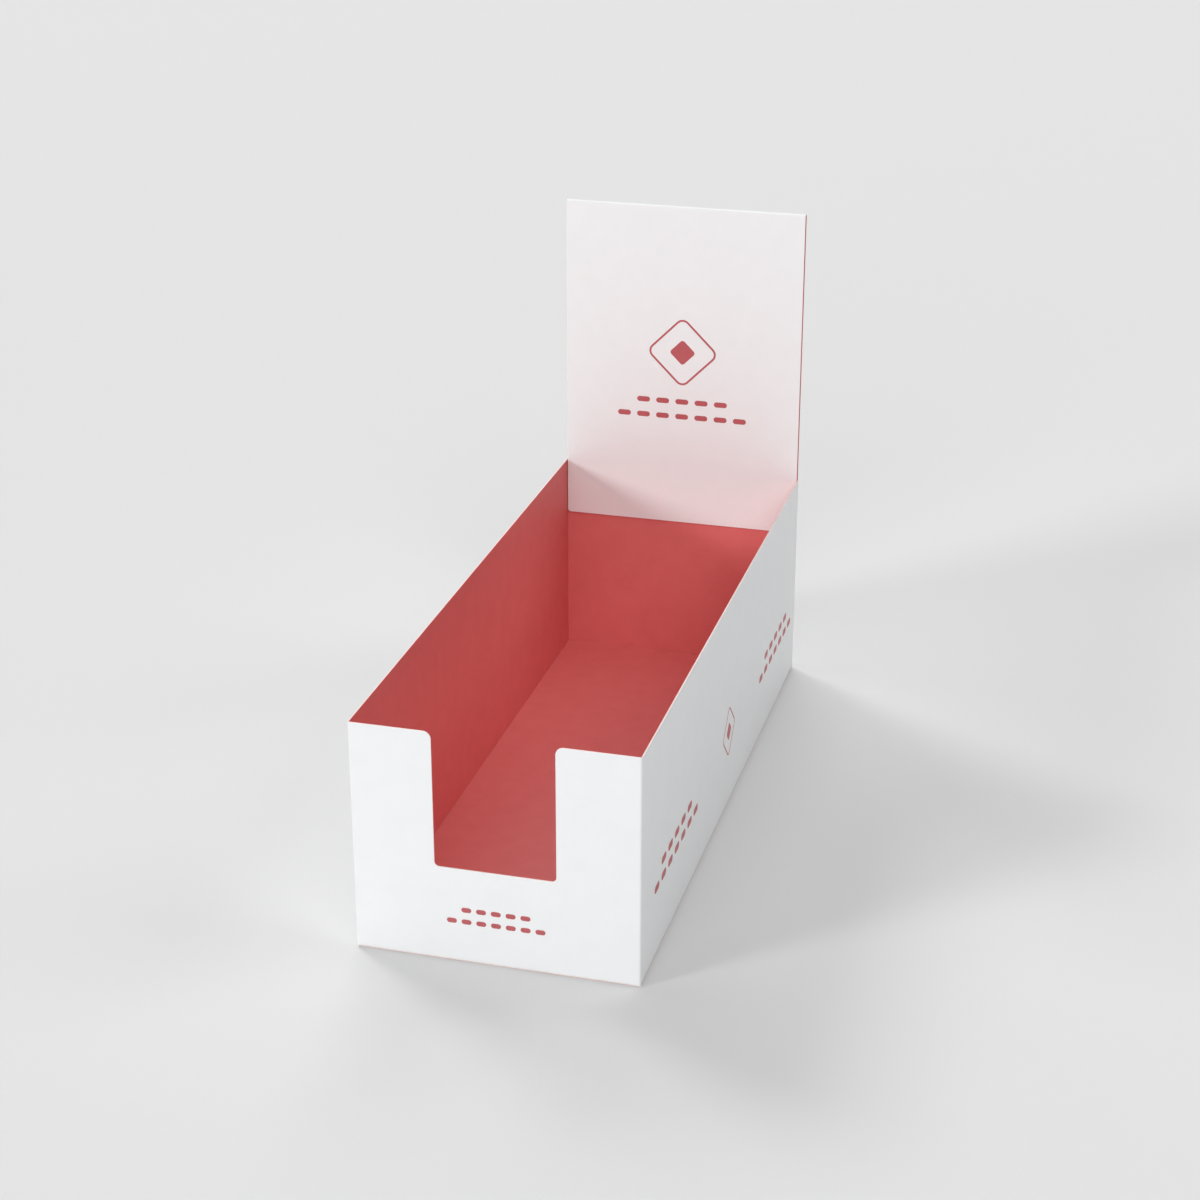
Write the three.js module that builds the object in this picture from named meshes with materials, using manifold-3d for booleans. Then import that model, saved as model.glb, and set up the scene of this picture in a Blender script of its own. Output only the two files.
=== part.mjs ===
// Counter display box: a long open tray with a notched front and a tall header, folded from one
// printed blank of folding board. Millimetres, +Z up. The front panel faces -Y, and the origin is
// the middle of the footprint, at the underside of the floor.
import * as THREE from "three";
import { mergeVertices } from "three/addons/utils/BufferGeometryUtils.js";
import Module from "manifold-3d";

// The board and its folds
const BOARD = 0.5; // thickness
const FOLD_INSIDE = 0.4; // radius inside a creased fold
const ARC_STEPS = 3; // pairs of facets round a fold or a corner

// The tray, outside
const TRAY_WIDTH = 120;
const TRAY_LENGTH = 316;
const TRAY_HEIGHT = 102.5;

// The notch in the front panel
const NOTCH_WIDTH = 50.8;
const NOTCH_DEPTH = 59.6;
const NOTCH_MOUTH_RADIUS = 3.2; // where its sides meet the rim
const NOTCH_FOOT_RADIUS = 2; // where its sides meet its bottom edge

// The header, two plies of board with a fold along the top
const HEADER_HEIGHT = 134.5; // rim to the top of the fold
const HEADER_INSET = 0.4; // the back panel's cut edge, in from the side wall's outer face
const PLY_GAP = 0.8; // air between the plies, which leaves room for the seam flap

// The tuck panel: the header's front ply, whose tail stands inside the tray
const TAIL_DEPTH = 28; // reach below the rim
const TAIL_CORNER_RADIUS = 1.5;
const TUCK_CLEARANCE = 0.7; // its side edge to the wall beside it
const HINGE_GAP = 0.3; // between the two halves of the fold along the top

// The seam flap, glued inside the back panel at the right
const SEAM_WIDTH = 14;
const SEAM_DROP = 1; // how far its root ends short of the wall's top and foot
const SEAM_TAPER = 4; // how much further its free edge does

// The bottom: two dust flaps between an outer and an inner floor panel, all glued
const DUST_DEPTH = 45;
const DUST_TAPER = 8; // how much each side draws in by the free edge
const FLOOR_INSET = 0.7; // cut edges of the outer floor and dust flaps, in from the walls' faces
const INNER_FLOOR_GAP = 0.5; // cut edges of the inner floor to the walls' inner faces

const LAP = 1; // how far two pieces of one panel run into each other before they are joined
const FOLD_OUTSIDE = FOLD_INSIDE + BOARD;
const RIGHT = TRAY_WIDTH / 2;
const LEFT = -RIGHT;
const BACK = TRAY_LENGTH / 2;
const FRONT = -BACK;
const DUST_LEVEL = BOARD; // the dust flaps lie on the outer floor
const INNER_LEVEL = DUST_LEVEL + BOARD; // the inner floor lies on the dust flaps
const WALL_FOOT = INNER_LEVEL + FOLD_OUTSIDE; // clear of every fold at the foot of a wall
const TOP_FOLD = BOARD + PLY_GAP / 2; // outside radius of the half turn along the header's top
const TOP_FOLD_Y = BACK - TOP_FOLD; // its axis, which is also where the header's two plies part
const TOP_FOLD_Z = TRAY_HEIGHT + HEADER_HEIGHT - TOP_FOLD;

const wasm = await Module();
wasm.setup();

// The drawing planes: an outline's own two axes, then the way it is pushed through.
const X = new THREE.Vector3(1, 0, 0);
const Y = new THREE.Vector3(0, 1, 0);
const Z = new THREE.Vector3(0, 0, 1);
const PLAN = new THREE.Matrix4().makeBasis(X, Y, Z);
const SIDE_VIEW = new THREE.Matrix4().makeBasis(Y, Z, X);
const FRONT_VIEW = new THREE.Matrix4().makeBasis(X, Z, Y.clone().negate());

// The solid between two stations on the third axis, with the outline as its section.
function prism(plane, outline, low, high) {
  const geometry = new THREE.ExtrudeGeometry(outline, {
    depth: high - low,
    bevelEnabled: false,
    curveSegments: ARC_STEPS,
  });
  geometry.translate(0, 0, plane === FRONT_VIEW ? -high : low);
  geometry.applyMatrix4(plane);
  geometry.deleteAttribute("normal");
  geometry.deleteAttribute("uv");
  const merged = mergeVertices(geometry, 1e-3);
  return new wasm.Manifold(
    new wasm.Mesh({
      numProp: 3,
      vertProperties: merged.getAttribute("position").array,
      triVerts: Uint32Array.from(merged.index.array),
    }),
  );
}

// An outline with straight sides through the points given.
function outlineThrough(...points) {
  return new THREE.Shape(points.map(([u, v]) => new THREE.Vector2(u, v)));
}

// Board seen edge on. The points are the corners of its outer face. Each corner between the ends
// is a creased fold that turns left by a right angle, and the board lies to the left of its face.
function boardThrough(...points) {
  const corners = points.map(([u, v]) => new THREE.Vector2(u, v));
  const runs = corners
    .slice(1)
    .map((point, i) => point.clone().sub(corners[i]).normalize());
  const innerSide = (point, run) =>
    point.clone().add(new THREE.Vector2(-run.y, run.x).multiplyScalar(BOARD));
  const folds = corners.slice(1, -1).map((point, i) => ({
    centre: point
      .clone()
      .addScaledVector(runs[i], -FOLD_OUTSIDE)
      .addScaledVector(runs[i + 1], FOLD_OUTSIDE),
    start: runs[i + 1].clone().negate().angle(),
    end: runs[i].angle(),
  }));
  const first = corners[0];
  const last = corners[corners.length - 1];
  const firstInside = innerSide(first, runs[0]);
  const lastInside = innerSide(last, runs[runs.length - 1]);

  const outline = new THREE.Shape();
  outline.moveTo(firstInside.x, firstInside.y);
  outline.lineTo(first.x, first.y);
  for (const { centre, start, end } of folds)
    outline.absarc(centre.x, centre.y, FOLD_OUTSIDE, start, end, false);
  outline.lineTo(last.x, last.y);
  outline.lineTo(lastInside.x, lastInside.y);
  for (const { centre, start, end } of folds.toReversed())
    outline.absarc(centre.x, centre.y, FOLD_INSIDE, end, start, true);
  outline.closePath();
  return outline;
}

// The four walls, from the back panel's cut edge at the right, round to the rear of the right wall.
function walls() {
  const section = boardThrough(
    [RIGHT - HEADER_INSET, BACK],
    [LEFT, BACK],
    [LEFT, FRONT],
    [RIGHT, FRONT],
    [RIGHT, BACK - SEAM_WIDTH],
  );
  return prism(PLAN, section, WALL_FOOT, TRAY_HEIGHT).subtract(notch());
}

// What the notch takes out of the front panel: a U whose four corners are rounded.
function notch() {
  const side = NOTCH_WIDTH / 2;
  const foot = TRAY_HEIGHT - NOTCH_DEPTH;
  const mouth = side + NOTCH_MOUTH_RADIUS;
  const shoulder = TRAY_HEIGHT - NOTCH_MOUTH_RADIUS;
  const heel = side - NOTCH_FOOT_RADIUS;
  const footCentre = foot + NOTCH_FOOT_RADIUS;
  const outline = new THREE.Shape();
  outline.moveTo(mouth, TRAY_HEIGHT + LAP);
  outline.lineTo(-mouth, TRAY_HEIGHT + LAP);
  outline.absarc(-mouth, shoulder, NOTCH_MOUTH_RADIUS, Math.PI / 2, 0, true);
  outline.absarc(-heel, footCentre, NOTCH_FOOT_RADIUS, Math.PI, 1.5 * Math.PI, false);
  outline.absarc(heel, footCentre, NOTCH_FOOT_RADIUS, 1.5 * Math.PI, 2 * Math.PI, false);
  outline.absarc(mouth, shoulder, NOTCH_MOUTH_RADIUS, Math.PI, Math.PI / 2, true);
  outline.closePath();
  return prism(FRONT_VIEW, outline, FRONT - LAP, FRONT + BOARD + LAP);
}

// The rear end of the right wall, and the tapered flap that is glued inside the back panel.
function seamFlap() {
  const glueLine = BACK - BOARD;
  const start = BACK - SEAM_WIDTH - LAP;
  const root = RIGHT - FOLD_OUTSIDE - LAP;
  const freeEdge = RIGHT - SEAM_WIDTH;
  const section = boardThrough([RIGHT, start], [RIGHT, glueLine], [freeEdge, glueLine]);
  const rootTop = TRAY_HEIGHT - SEAM_DROP;
  const rootFoot = WALL_FOOT + SEAM_DROP;
  const silhouette = outlineThrough(
    [RIGHT + LAP, WALL_FOOT],
    [RIGHT + LAP, TRAY_HEIGHT],
    [root, TRAY_HEIGHT],
    [root, rootTop],
    [freeEdge, rootTop - SEAM_TAPER],
    [freeEdge, rootFoot + SEAM_TAPER],
    [root, rootFoot],
    [root, WALL_FOOT],
  );
  return prism(PLAN, section, WALL_FOOT - LAP, TRAY_HEIGHT + LAP).intersect(
    prism(FRONT_VIEW, silhouette, start, BACK),
  );
}

// The outer floor, folded in from the left wall. Its free edge stops short of the right wall's face.
function outerFloor() {
  const section = boardThrough([LEFT, WALL_FOOT + LAP], [LEFT, 0], [RIGHT - FLOOR_INSET, 0]);
  return prism(FRONT_VIEW, section, FRONT + FLOOR_INSET, BACK - FLOOR_INSET);
}

// The inner floor, folded in from the right wall, with a small gap to the other three.
function innerFloor() {
  const gap = BOARD + INNER_FLOOR_GAP;
  const section = boardThrough(
    [LEFT + gap, INNER_LEVEL],
    [RIGHT, INNER_LEVEL],
    [RIGHT, WALL_FOOT + LAP],
  );
  return prism(FRONT_VIEW, section, FRONT + gap, BACK - gap);
}

// A dust flap's outline in plan, with its wall's foot: `end` is the wall's face, `inward` is 1 or -1.
function dustOutline(end, inward) {
  const rootSide = RIGHT - FOLD_OUTSIDE;
  const tipSide = RIGHT - FLOOR_INSET - DUST_TAPER;
  const root = end + inward * FOLD_OUTSIDE;
  const tip = end + inward * DUST_DEPTH;
  return outlineThrough(
    [-rootSide, end - inward * LAP],
    [-rootSide, root],
    [-tipSide, tip],
    [tipSide, tip],
    [rootSide, root],
    [rootSide, end - inward * LAP],
  );
}

// The two dust flaps, folded in from the front and back panels and glued between the floors.
function dustFlaps() {
  const front = boardThrough(
    [FRONT, WALL_FOOT + LAP],
    [FRONT, DUST_LEVEL],
    [FRONT + DUST_DEPTH + LAP, DUST_LEVEL],
  );
  const back = boardThrough(
    [BACK - DUST_DEPTH - LAP, DUST_LEVEL],
    [BACK, DUST_LEVEL],
    [BACK, WALL_FOOT + LAP],
  );
  const cut = (section, end, inward) =>
    prism(SIDE_VIEW, section, LEFT, RIGHT).intersect(
      prism(PLAN, dustOutline(end, inward), 0, WALL_FOOT + 2 * LAP),
    );
  return cut(front, FRONT, 1).add(cut(back, BACK, -1));
}

// The header's back ply, which runs straight up from the back panel, with its half of the fold.
function header() {
  const side = RIGHT - HEADER_INSET;
  const foot = TRAY_HEIGHT - LAP;
  const section = new THREE.Shape();
  section.moveTo(BACK - BOARD, foot);
  section.lineTo(BACK, foot);
  section.absarc(TOP_FOLD_Y, TOP_FOLD_Z, TOP_FOLD, 0, Math.PI / 2, false);
  section.absarc(TOP_FOLD_Y, TOP_FOLD_Z, TOP_FOLD - BOARD, Math.PI / 2, 0, true);
  section.closePath();
  return prism(SIDE_VIEW, section, -side, side).subtract(hingeGap());
}

// The clearance between the two halves of the fold, along the top of the header.
function hingeGap() {
  const section = outlineThrough(
    [TOP_FOLD_Y - HINGE_GAP / 2, TOP_FOLD_Z],
    [TOP_FOLD_Y + HINGE_GAP / 2, TOP_FOLD_Z],
    [TOP_FOLD_Y + HINGE_GAP / 2, TOP_FOLD_Z + TOP_FOLD + LAP],
    [TOP_FOLD_Y - HINGE_GAP / 2, TOP_FOLD_Z + TOP_FOLD + LAP],
  );
  return prism(SIDE_VIEW, section, LEFT, RIGHT);
}

// The header's front ply with the other half of the fold. Its tail tucks into the tray.
function tuckPanel() {
  const side = RIGHT - BOARD - TUCK_CLEARANCE;
  const tail = TRAY_HEIGHT - TAIL_DEPTH;
  const face = TOP_FOLD_Y - TOP_FOLD;
  const section = new THREE.Shape();
  section.moveTo(face + BOARD, tail);
  section.lineTo(face + BOARD, TOP_FOLD_Z);
  section.absarc(TOP_FOLD_Y, TOP_FOLD_Z, TOP_FOLD - BOARD, Math.PI, Math.PI / 2, true);
  section.absarc(TOP_FOLD_Y, TOP_FOLD_Z, TOP_FOLD, Math.PI / 2, Math.PI, false);
  section.lineTo(face, tail);
  section.closePath();
  return prism(SIDE_VIEW, section, -side, side)
    .subtract(hingeGap())
    .intersect(tuckOutline(side, tail));
}

// The tuck panel seen from the front: straight sides, and small round corners at the tail.
function tuckOutline(side, tail) {
  const cornerSide = side - TAIL_CORNER_RADIUS;
  const cornerHeight = tail + TAIL_CORNER_RADIUS;
  const top = TRAY_HEIGHT + HEADER_HEIGHT + LAP;
  const outline = new THREE.Shape();
  outline.moveTo(side, top);
  outline.lineTo(-side, top);
  outline.absarc(-cornerSide, cornerHeight, TAIL_CORNER_RADIUS, Math.PI, 1.5 * Math.PI, false);
  outline.absarc(cornerSide, cornerHeight, TAIL_CORNER_RADIUS, 1.5 * Math.PI, 2 * Math.PI, false);
  outline.closePath();
  return prism(FRONT_VIEW, outline, TOP_FOLD_Y - TOP_FOLD - LAP, BACK);
}

// White coated board for a part of the blank.
function boardMesh(name, solid) {
  const { vertProperties, triVerts } = solid.getMesh();
  const geometry = new THREE.BufferGeometry();
  geometry.setAttribute("position", new THREE.BufferAttribute(vertProperties, 3));
  geometry.setIndex(new THREE.BufferAttribute(triVerts, 1));
  geometry.computeVertexNormals();
  const material = new THREE.MeshStandardMaterial({
    color: 0xf2f2f0,
    roughness: 0.55,
    metalness: 0,
  });
  const mesh = new THREE.Mesh(geometry, material);
  mesh.name = name;
  return mesh;
}

const tray = [seamFlap(), outerFloor(), dustFlaps(), innerFloor(), header()].reduce(
  (joined, panel) => joined.add(panel),
  walls(),
);

const displayBox = new THREE.Group();
displayBox.add(boardMesh("folded_tray_and_header", tray));
displayBox.add(boardMesh("header_tuck_panel", tuckPanel()));

export default displayBox;
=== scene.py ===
"""Counter display box: a long open tray and a tall header, folded from one printed sheet of board.

The board is white outside and red inside. It is modelled as a sheet that is folded panel by panel
and then given its thickness, so both faces and the cut edges carry their own finish.
"""
import math

import bmesh
import bpy
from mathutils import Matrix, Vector


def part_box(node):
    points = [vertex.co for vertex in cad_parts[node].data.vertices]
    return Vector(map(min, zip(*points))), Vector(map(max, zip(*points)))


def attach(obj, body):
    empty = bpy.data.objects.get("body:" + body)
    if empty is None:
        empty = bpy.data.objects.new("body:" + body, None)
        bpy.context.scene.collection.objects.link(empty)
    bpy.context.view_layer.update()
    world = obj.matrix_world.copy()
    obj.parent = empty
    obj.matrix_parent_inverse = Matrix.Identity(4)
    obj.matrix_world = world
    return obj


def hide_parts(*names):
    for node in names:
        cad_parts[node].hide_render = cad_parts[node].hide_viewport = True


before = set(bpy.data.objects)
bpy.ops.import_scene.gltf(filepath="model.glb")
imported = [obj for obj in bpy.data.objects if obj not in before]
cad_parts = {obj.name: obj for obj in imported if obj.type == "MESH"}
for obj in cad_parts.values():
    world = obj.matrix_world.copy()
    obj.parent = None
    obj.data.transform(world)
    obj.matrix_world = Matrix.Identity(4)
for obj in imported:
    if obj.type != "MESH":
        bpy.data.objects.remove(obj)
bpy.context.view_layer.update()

MM = 0.001
QUARTER = math.radians(90)

# The board
BOARD = 0.5 * MM
FOLD = 0.9 * MM  # outside radius of a creased fold
FOLD_STEPS = 8
HAIR = 0.02 * MM  # between faces that are glued together
INK = 0.03 * MM  # depth of a printed film
SMOOTH_BELOW = math.radians(30)

# The tray and header, read from the fixed frame
TRAY_NODE = "folded_tray_and_header"
TUCK_NODE = "header_tuck_panel"
tray_low, tray_high = (Vector(corner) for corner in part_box(TRAY_NODE))
tuck_low, tuck_high = (Vector(corner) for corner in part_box(TUCK_NODE))
LEFT, RIGHT = tray_low.x, tray_high.x
FRONT, BACK = tray_low.y, tray_high.y
RIM = 102.5 * MM
RIM_STEP = 0.4 * MM  # height in which the back panel narrows to the header's width
TOP = 237 * MM
HEADER_SIDE = RIGHT - 0.6 * MM
TUCK_SIDE = tuck_high.x + 0.3 * MM
TUCK_FACE = tuck_low.y
TAIL = tuck_low.z
TAIL_CORNER = 1.5 * MM
TAIL_CORNER_STEPS = 6
TOP_FOLD = (BACK - TUCK_FACE) / 2

# The notch
NOTCH_SIDE = 25.4 * MM
NOTCH_FOOT = 42.9 * MM
NOTCH_MOUTH_RADIUS = 3.2 * MM
NOTCH_FOOT_RADIUS = 2 * MM
NOTCH_CORNER_STEPS = 8

# The bottom and the seam
DUST_LEVEL = BOARD
INNER_LEVEL = 2 * BOARD
WALL_FOOT = INNER_LEVEL + FOLD
FREE_EDGE = 0.7 * MM  # from the outer floor's free edge to the right wall's face
INNER_GAP = 0.1 * MM  # between the inner floor and the left wall
DUST_DEPTH = 45 * MM
DUST_TAPER = 8 * MM  # on each side
SEAM_WIDTH = 14 * MM
SEAM_TAPER = 4 * MM  # at each end

# How near two places count as one, and as lying on the header's crease
SAME = 0.01 * MM
MERGE = 0.005 * MM
CREASE_REACH = 3 * HAIR

# The printed shapes
PRINT_CORNER_STEPS = 6
BAR_END = 0.49  # corner radius, as a share of a bar's height
LOZENGE_CORNER = 0.22  # corner radius, as a share of a lozenge's radius
EMBLEM_CORE = 0.36  # the inner lozenge, as a share of the outer one

# Paper seen close. Real fibres are finer than a pixel, so their grain is drawn coarser.
CLOUD_SIZE = 9 * MM
GRAIN_SIZE = 0.7 * MM
CLOUD_STOPS = (0.3, 0.7)  # where the deep tint ends and the pale one begins
GRAIN_STRENGTH = 0.35

# The stage
BACKDROP_COLOR = "#e5e5e5"
FLOOR_COLOR = "#dcdcdc"
FLOOR_SIZE = 12
FLOOR_PLACE = (0, 2, -0.05 * MM)

# The camera stands 15.2 degrees round to the right of the front and looks down by 23.21 degrees.
CAMERA_PLACE = (0.25986, -0.95533, 0.52056)
CAMERA_TURN = (math.radians(90 - 23.21), 0, math.radians(15.2))
CAMERA_LENS = 72.36
CAMERA_SENSOR = 36
CAMERA_RANGE = (0.05, 50)

# Distant softboxes: degrees round from the front towards the right, degrees up, degrees wide,
# and strength.
SOFTBOXES = {
    "key_front_left": (-47, 18, 14, 1.24),
    "left_rear": (-128, 39, 20, 1.1),
    "rear_left": (-160, 34, 34, 1.0),
    "rear_right": (110, 36, 34, 0.74),
    "front_right": (32, 42, 34, 0.72),
    "front_low": (0, 22, 34, 0.75),
    "overhead": (0, 85, 50, 0.52),
}


# Colour and nodes

def linear(code):
    """An sRGB hex value as the linear colour that a shader takes."""
    channels = [int(code[i:i + 2], 16) / 255 for i in (1, 3, 5)]
    return [c / 12.92 if c <= 0.04045 else ((c + 0.055) / 1.055) ** 2.4 for c in channels] + [1.0]


def add_node(material, kind, settings=None, **links):
    """Adds a node, sets its properties and sockets, and links inputs given as sockets."""
    node = material.node_tree.nodes.new(kind)
    for name, value in (settings or {}).items():
        if name in node.inputs:
            node.inputs[name].default_value = value
        else:
            setattr(node, name, value)
    for name, source in links.items():
        material.node_tree.links.new(source, node.inputs[name.replace("_", " ")])
    return node


def new_material(name, color, roughness, ior, specular=0.5):
    """A plain material. A viewer that skips a pattern laid on it later still shows this colour."""
    material = bpy.data.materials.new(name)
    material.use_nodes = True
    material.diffuse_color = linear(color)
    shader = material.node_tree.nodes["Principled BSDF"]
    shader.inputs["Base Color"].default_value = linear(color)
    shader.inputs["Roughness"].default_value = roughness
    shader.inputs["IOR"].default_value = ior
    shader.inputs["Specular IOR Level"].default_value = specular
    return material


def paper_surface(material, pale, deep, smoothest, roughest, grain_height):
    """Board seen close: a cloudy formation some millimetres across and a fibre grain under the ink."""
    place = add_node(material, "ShaderNodeTexCoord").outputs["Object"]
    clouds = add_node(
        material, "ShaderNodeTexNoise",
        {"Scale": 1 / CLOUD_SIZE, "Detail": 3.0, "Roughness": 0.55}, Vector=place,
    )
    fibres = add_node(
        material, "ShaderNodeTexNoise",
        {"Scale": 1 / GRAIN_SIZE, "Detail": 4.0, "Roughness": 0.6}, Vector=place,
    )
    tint = add_node(material, "ShaderNodeValToRGB", Fac=clouds.outputs["Fac"])
    for stop, position, code in zip(tint.color_ramp.elements, CLOUD_STOPS, (deep, pale)):
        stop.position = position
        stop.color = linear(code)
    gloss = add_node(
        material, "ShaderNodeMapRange",
        {"To Min": smoothest, "To Max": roughest}, Value=fibres.outputs["Fac"],
    )
    relief = add_node(
        material, "ShaderNodeBump",
        {"Strength": GRAIN_STRENGTH, "Distance": grain_height}, Height=fibres.outputs["Fac"],
    )
    shader = material.node_tree.nodes["Principled BSDF"]
    links = material.node_tree.links
    links.new(tint.outputs["Color"], shader.inputs["Base Color"])
    links.new(gloss.outputs["Result"], shader.inputs["Roughness"])
    links.new(relief.outputs["Normal"], shader.inputs["Normal"])


def coated_white():
    """Clay-coated, brightened folding board under matt varnish: an even cool white, faintly silky."""
    material = new_material("clay_coated_white_board", "#eff0f1", roughness=0.5, ior=1.5)
    paper_surface(
        material, pale="#f0f1f2", deep="#eeeff0", smoothest=0.46, roughest=0.56,
        grain_height=0.012 * MM,
    )
    return material


def red_ink_inside():
    """A flat red litho ink over the board's inner face: matt, its corners deepened by its own light."""
    material = new_material("red_litho_ink_on_board", "#db7270", roughness=0.5, ior=1.5)
    paper_surface(
        material, pale="#dd7573", deep="#d9706e", smoothest=0.48, roughest=0.6,
        grain_height=0.015 * MM,
    )
    return material


def cut_edge():
    """A die-cut edge of the board: bare and rough, a pale pink beside the inked face."""
    material = new_material(
        "die_cut_board_edge", "#f3dcd8", roughness=0.8, ior=1.5, specular=0.3,
    )
    paper_surface(
        material, pale="#f6e3df", deep="#efd2cd", smoothest=0.72, roughest=0.88,
        grain_height=0.03 * MM,
    )
    return material


def print_ink():
    """The outside's one printed colour: a thin film of dusty red litho ink, a little silkier."""
    material = new_material("dusty_red_litho_ink", "#b9595d", roughness=0.48, ior=1.5)
    paper_surface(
        material, pale="#bb5b5f", deep="#b55458", smoothest=0.42, roughest=0.54,
        grain_height=0.01 * MM,
    )
    return material


# Sheet modelling

def deselect_everything():
    if bpy.context.mode != "OBJECT":
        bpy.ops.object.mode_set(mode="OBJECT")
    bpy.ops.object.select_all(action="DESELECT")


def pick(kind, where):
    """In edit mode, selects the vertices, edges or faces whose every corner passes the test."""
    bpy.ops.mesh.select_mode(type=kind)
    bpy.ops.mesh.select_all(action="DESELECT")
    mesh = bmesh.from_edit_mesh(bpy.context.edit_object.data)
    parts = {"VERT": mesh.verts, "EDGE": mesh.edges, "FACE": mesh.faces}[kind]
    for part in parts:
        corners = [part] if kind == "VERT" else part.verts
        if all(where(corner.co) for corner in corners):
            part.select_set(True)
    mesh.select_flush_mode()
    bmesh.update_edit_mesh(bpy.context.edit_object.data)


def near(a, b):
    return abs(a - b) < SAME


def start_panel(name, low, high, tilt):
    """A rectangle of board between two corners, left open in edit mode. Tilt turns it from flat."""
    deselect_everything()
    middle = (low + high) / 2
    bpy.ops.mesh.primitive_plane_add(size=1, location=middle, rotation=tilt)
    sheet = bpy.context.object
    sheet.name = name
    sheet.data.name = name
    bpy.ops.object.transform_apply(location=True, rotation=True, scale=True)
    bpy.ops.object.mode_set(mode="EDIT")
    bpy.ops.mesh.select_all(action="SELECT")
    size = high - low
    bpy.ops.transform.resize(
        value=[side if side else 1 for side in size], center_override=middle,
    )
    return sheet


def run(vector):
    """Draws the selected edge out into a flat panel."""
    bpy.ops.mesh.extrude_region_move(TRANSFORM_OT_translate={"value": vector})


def fold(centre, axis):
    """Rolls the selected edge a quarter turn round a fold's axis, by the right-hand rule."""
    bpy.ops.mesh.spin(steps=FOLD_STEPS, angle=-QUARTER, center=centre, axis=axis)


def round_corners(radius, steps):
    """Rounds the selected corners of a flat sheet to an arc."""
    bpy.ops.mesh.bevel(
        offset=radius, offset_type="OFFSET", segments=steps, affect="VERTICES", profile=0.5,
    )


def give_thickness(sheet, finishes):
    """Thickens the sheet inwards from its outer face: coated outside, red inside, cut edges."""
    bpy.ops.mesh.select_all(action="SELECT")
    bpy.ops.mesh.remove_doubles(threshold=MERGE)
    bpy.ops.object.mode_set(mode="OBJECT")
    for finish in finishes:
        sheet.data.materials.append(finish)
    thicken = sheet.modifiers.new("board_thickness", "SOLIDIFY")
    thicken.thickness = BOARD
    thicken.offset = -1
    thicken.use_even_offset = True
    thicken.material_offset = 1
    thicken.material_offset_rim = 2
    bpy.ops.object.modifier_apply(modifier=thicken.name)
    bpy.ops.object.shade_smooth_by_angle(angle=SMOOTH_BELOW)


def close_top_fold():
    """The header's top is one unbroken crease, so its halves meet flush and the red runs across."""
    crease = BACK - TOP_FOLD

    def at_crease(co):
        return abs(co.y - crease) < CREASE_REACH and co.z > TOP - 2 * BOARD

    bpy.ops.object.mode_set(mode="EDIT")
    pick("VERT", at_crease)
    bpy.ops.transform.resize(value=(1, 0, 1), center_override=(0, crease, 0))
    pick("FACE", at_crease)
    bpy.context.object.active_material_index = 1
    bpy.ops.object.material_slot_assign()
    bpy.ops.object.mode_set(mode="OBJECT")


def cut_notch():
    """Cuts the U out of the front panel and rounds its four corners."""
    def on_front(co):
        return near(co.y, FRONT)

    def between_sides(co):
        return on_front(co) and abs(co.x) < NOTCH_SIDE + HAIR

    for side in (-NOTCH_SIDE, NOTCH_SIDE):
        pick("FACE", on_front)
        bpy.ops.mesh.bisect(plane_co=(side, 0, 0), plane_no=(1, 0, 0))
    pick("FACE", between_sides)
    bpy.ops.mesh.bisect(plane_co=(0, 0, NOTCH_FOOT), plane_no=(0, 0, 1))
    pick("FACE", lambda co: between_sides(co) and co.z > NOTCH_FOOT - HAIR)
    bpy.ops.mesh.delete(type="FACE")
    pick("FACE", on_front)
    bpy.ops.mesh.dissolve_faces()
    for height, radius in ((RIM, NOTCH_MOUTH_RADIUS), (NOTCH_FOOT, NOTCH_FOOT_RADIUS)):
        pick("VERT", lambda co: on_front(co) and near(abs(co.x), NOTCH_SIDE) and near(co.z, height))
        round_corners(radius, NOTCH_CORNER_STEPS)


def fold_tray(finishes):
    """The blank, panel by panel: back, left, front and right walls, seam flap, floors and header."""
    inside_left = LEFT + FOLD
    inside_right = RIGHT - FOLD
    inside_front = FRONT + FOLD
    inside_back = BACK - FOLD
    glue_line = BACK - BOARD - HAIR
    tray = start_panel(
        "folded_board_tray",
        Vector((inside_left, BACK, WALL_FOOT)), Vector((HEADER_SIDE, BACK, RIM)),
        (-QUARTER, 0, 0),
    )
    up = (0, 0, 1)
    pick("EDGE", lambda co: near(co.x, inside_left))
    fold((inside_left, inside_back, 0), up)
    run((0, inside_front - inside_back, 0))
    fold((inside_left, inside_front, 0), up)
    run((inside_right - inside_left, 0, 0))
    fold((inside_right, inside_front, 0), up)
    run((0, glue_line - FOLD - inside_front, 0))
    fold((inside_right, glue_line - FOLD, 0), up)
    run((FOLD - SEAM_WIDTH, 0, 0))
    middle = (RIM + WALL_FOOT) / 2
    height = RIM - WALL_FOOT
    bpy.ops.transform.resize(
        value=(1, 1, (height - 2 * SEAM_TAPER) / height), center_override=(0, 0, middle),
    )

    cut_notch()
    fold_floors(inside_left, inside_right, inside_front, inside_back, glue_line)

    pick("EDGE", lambda co: near(co.y, BACK) and near(co.z, RIM))
    run((0, 0, RIM_STEP))
    header_foot = RIM + RIM_STEP
    pick("VERT", lambda co: near(co.y, BACK) and near(co.z, header_foot) and co.x < 0)
    bpy.ops.transform.translate(value=(-HEADER_SIDE - inside_left, 0, 0))
    pick("EDGE", lambda co: near(co.y, BACK) and near(co.z, header_foot))
    run((0, 0, TOP - TOP_FOLD - header_foot))
    fold((0, BACK - TOP_FOLD, TOP - TOP_FOLD), (1, 0, 0))
    give_thickness(tray, finishes)
    close_top_fold()
    return tray


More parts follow.
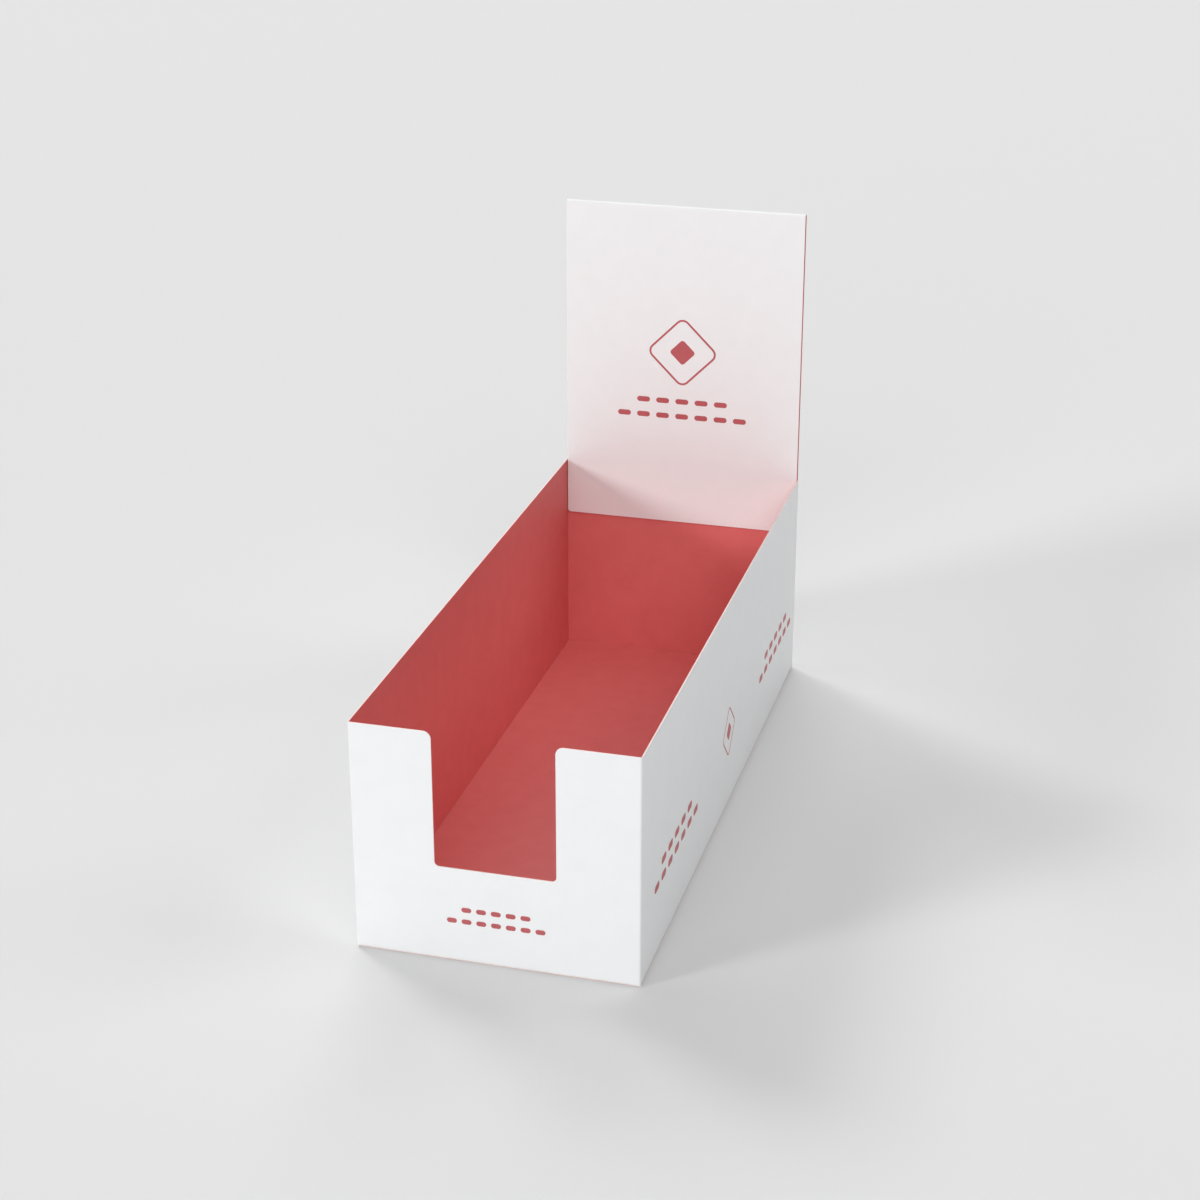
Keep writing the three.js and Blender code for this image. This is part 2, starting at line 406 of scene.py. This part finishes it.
def fold_floors(inside_left, inside_right, inside_front, inside_back, glue_line):
    """The bottom's four panels, each folded in from the foot of its own wall."""
    def on_foot(co):
        return near(co.z, WALL_FOOT)

    # The corner folds run down beside the floors, so no light shows through at the corners.
    for side in (-1, 1):
        for end in (-1, 1):
            pick(
                "EDGE",
                lambda co: on_foot(co) and side * co.x > inside_right - HAIR
                and end * co.y > glue_line - FOLD - HAIR,
            )
            run((0, 0, DUST_LEVEL - WALL_FOOT))

    pick("EDGE", lambda co: on_foot(co) and near(co.x, LEFT))
    run((0, 0, FOLD - WALL_FOOT))
    fold((inside_left, 0, FOLD), (0, -1, 0))
    run((RIGHT - FREE_EDGE - inside_left, 0, 0))

    pick("EDGE", lambda co: on_foot(co) and near(co.x, RIGHT))
    fold((inside_right, 0, WALL_FOOT), (0, 1, 0))
    run((LEFT + BOARD + INNER_GAP - inside_right, 0, 0))

    dust_fold = DUST_LEVEL + HAIR + FOLD
    for wall, inside, inward in ((FRONT, inside_front, 1), (BACK, inside_back, -1)):
        pick("EDGE", lambda co: on_foot(co) and near(co.y, wall))
        run((0, 0, dust_fold - WALL_FOOT))
        fold((0, inside, dust_fold), (inward, 0, 0))
        run((0, inward * (DUST_DEPTH - FOLD), 0))
        bpy.ops.transform.resize(
            value=((inside_right - DUST_TAPER) / inside_right, 1, 1), center_override=(0, 0, 0),
        )


def fold_front_ply(finishes):
    """The header's front ply: from its half of the top fold down to the tail inside the tray."""
    ply = start_panel(
        "header_front_ply",
        Vector((-TUCK_SIDE, TUCK_FACE, TAIL)), Vector((TUCK_SIDE, TUCK_FACE, TOP - TOP_FOLD)),
        (QUARTER, 0, 0),
    )
    pick("VERT", lambda co: near(co.z, TAIL))
    round_corners(TAIL_CORNER, TAIL_CORNER_STEPS)
    pick("EDGE", lambda co: near(co.z, TOP - TOP_FOLD))
    fold((0, BACK - TOP_FOLD, TOP - TOP_FOLD), (-1, 0, 0))
    give_thickness(ply, finishes)
    close_top_fold()
    return ply


# Printed shapes, drawn flat: x runs along the panel and y up it.

def bar(width, height):
    """A short printed bar with round ends."""
    bpy.ops.mesh.primitive_plane_add(size=1)
    shape = bpy.context.object
    shape.scale = (width, height, 1)
    bpy.ops.object.transform_apply(scale=True)
    bpy.ops.object.mode_set(mode="EDIT")
    bpy.ops.mesh.select_all(action="SELECT")
    round_corners(BAR_END * height, PRINT_CORNER_STEPS)
    bpy.ops.object.mode_set(mode="OBJECT")
    return shape


def lozenge(radius, line=None):
    """A square stood on its corner, solid or as an outline of the line width given."""
    bpy.ops.mesh.primitive_circle_add(vertices=4, radius=radius, fill_type="NGON")
    shape = bpy.context.object
    bpy.ops.object.mode_set(mode="EDIT")
    bpy.ops.mesh.select_mode(type="VERT")
    bpy.ops.mesh.select_all(action="SELECT")
    round_corners(LOZENGE_CORNER * radius, PRINT_CORNER_STEPS)
    if line:
        bpy.ops.mesh.select_mode(type="FACE")
        bpy.ops.mesh.select_all(action="SELECT")
        bpy.ops.mesh.inset(thickness=line)
        bpy.ops.mesh.delete(type="FACE")
    bpy.ops.object.mode_set(mode="OBJECT")
    return shape


def bar_rows(counts, pitch, width, height, top, drop):
    """Rows of bars, one under another, each row centred."""
    shapes = []
    for row, count in enumerate(counts):
        for i in range(count):
            deselect_everything()
            shape = bar(width, height)
            shape.location = ((i - (count - 1) / 2) * pitch, top - row * drop, 0)
            shapes.append(shape)
    return shapes


def emblem(radius, line, height):
    """A lozenge outline round a small solid lozenge."""
    shapes = []
    for size, width in ((radius, line), (EMBLEM_CORE * radius, None)):
        deselect_everything()
        shape = lozenge(size, width)
        shape.location = (0, height, 0)
        shapes.append(shape)
    return shapes


def slide(shapes, along):
    """Moves printed shapes along their panel."""
    for shape in shapes:
        shape.location.x += along
    return shapes


def lay_ink(name, shapes, turn, place, finish):
    """Joins flat shapes into one print, gives the film its depth and lays it on a panel."""
    deselect_everything()
    for shape in shapes:
        shape.select_set(True)
    bpy.context.view_layer.objects.active = shapes[0]
    bpy.ops.object.transform_apply(location=True, rotation=True, scale=True)
    bpy.ops.object.join()
    ink = bpy.context.object
    ink.name = name
    ink.data.name = name
    film = ink.modifiers.new("ink_film", "SOLIDIFY")
    film.thickness = INK
    film.offset = 1
    bpy.ops.object.modifier_apply(modifier=film.name)
    ink.rotation_euler = turn
    ink.location = place
    bpy.ops.object.transform_apply(location=True, rotation=True, scale=True)
    ink.data.materials.append(finish)
    return ink


# The stage

def light_backdrop(scene):
    """A pale world that the camera and reflections see. The softboxes alone light the box."""
    world = bpy.data.worlds.new("studio")
    scene.world = world
    world.use_nodes = True
    background = world.node_tree.nodes["Background"]
    background.inputs["Color"].default_value = linear(BACKDROP_COLOR)
    seen = add_node(world, "ShaderNodeLightPath")
    shown = add_node(world, "ShaderNodeMath", {"operation": "MAXIMUM"})
    links = world.node_tree.links
    links.new(seen.outputs["Is Camera Ray"], shown.inputs[0])
    links.new(seen.outputs["Is Glossy Ray"], shown.inputs[1])
    links.new(shown.outputs["Value"], background.inputs["Strength"])


def hang_softboxes(scene):
    for name, (around, height, width, strength) in SOFTBOXES.items():
        lamp = bpy.data.lights.new(name, "SUN")
        lamp.angle = math.radians(width)
        lamp.energy = strength
        around, height = math.radians(around), math.radians(height)
        source = Vector((
            math.cos(height) * math.sin(around), -math.cos(height) * math.cos(around),
            math.sin(height),
        ))
        softbox = bpy.data.objects.new(name, lamp)
        softbox.location = source
        softbox.rotation_euler = source.to_track_quat("Z", "Y").to_euler()
        scene.collection.objects.link(softbox)


def lay_floor():
    deselect_everything()
    bpy.ops.mesh.primitive_plane_add(size=FLOOR_SIZE, location=FLOOR_PLACE)
    floor = bpy.context.object
    floor.name = "floor"
    floor.data.materials.append(
        new_material("matt_pale_floor", FLOOR_COLOR, roughness=0.9, ior=1.45, specular=0.1),
    )


def place_camera(scene):
    view = bpy.data.cameras.new("camera")
    view.lens = CAMERA_LENS
    view.sensor_width = CAMERA_SENSOR
    view.clip_start, view.clip_end = CAMERA_RANGE
    camera = bpy.data.objects.new("camera", view)
    camera.location = CAMERA_PLACE
    camera.rotation_euler = CAMERA_TURN
    scene.collection.objects.link(camera)
    scene.camera = camera


white = coated_white()
red = red_ink_inside()
edge = cut_edge()
ink = print_ink()

tray = fold_tray((white, red, edge))
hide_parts(TRAY_NODE)
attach(tray, "box")

front_ply = fold_front_ply((white, red, edge))
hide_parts(TUCK_NODE)
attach(front_ply, "tuck_panel")

header_marks = emblem(radius=18.5 * MM, line=1 * MM, height=164 * MM)
header_marks += bar_rows(
    (5, 7), pitch=9.8 * MM, width=6.6 * MM, height=2.7 * MM, top=138.5 * MM, drop=7.8 * MM,
)
header_print = lay_ink(
    "header_print", header_marks, (QUARTER, 0, 0), (0, TUCK_FACE, 0), ink,
)
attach(header_print, "tuck_panel")

front_marks = bar_rows(
    (5, 7), pitch=6.2 * MM, width=4.2 * MM, height=2.2 * MM, top=24.4 * MM, drop=5.4 * MM,
)
front_print = lay_ink("front_print", front_marks, (QUARTER, 0, 0), (0, FRONT, 0), ink)
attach(front_print, "box")

side_marks = slide(emblem(radius=13 * MM, line=0.8 * MM, height=37.5 * MM), 2 * MM)
for centre in (-98 * MM, 108 * MM):
    side_marks += slide(
        bar_rows(
            (5, 7), pitch=11.4 * MM, width=7.6 * MM, height=3.4 * MM, top=39 * MM,
            drop=7.4 * MM,
        ),
        centre,
    )
side_print = lay_ink(
    "side_print", side_marks, (QUARTER, 0, QUARTER), (RIGHT, 0, 0), ink,
)
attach(side_print, "box")

scene = bpy.context.scene
scene.view_settings.view_transform = "Standard"
light_backdrop(scene)
hang_softboxes(scene)
lay_floor()
place_camera(scene)
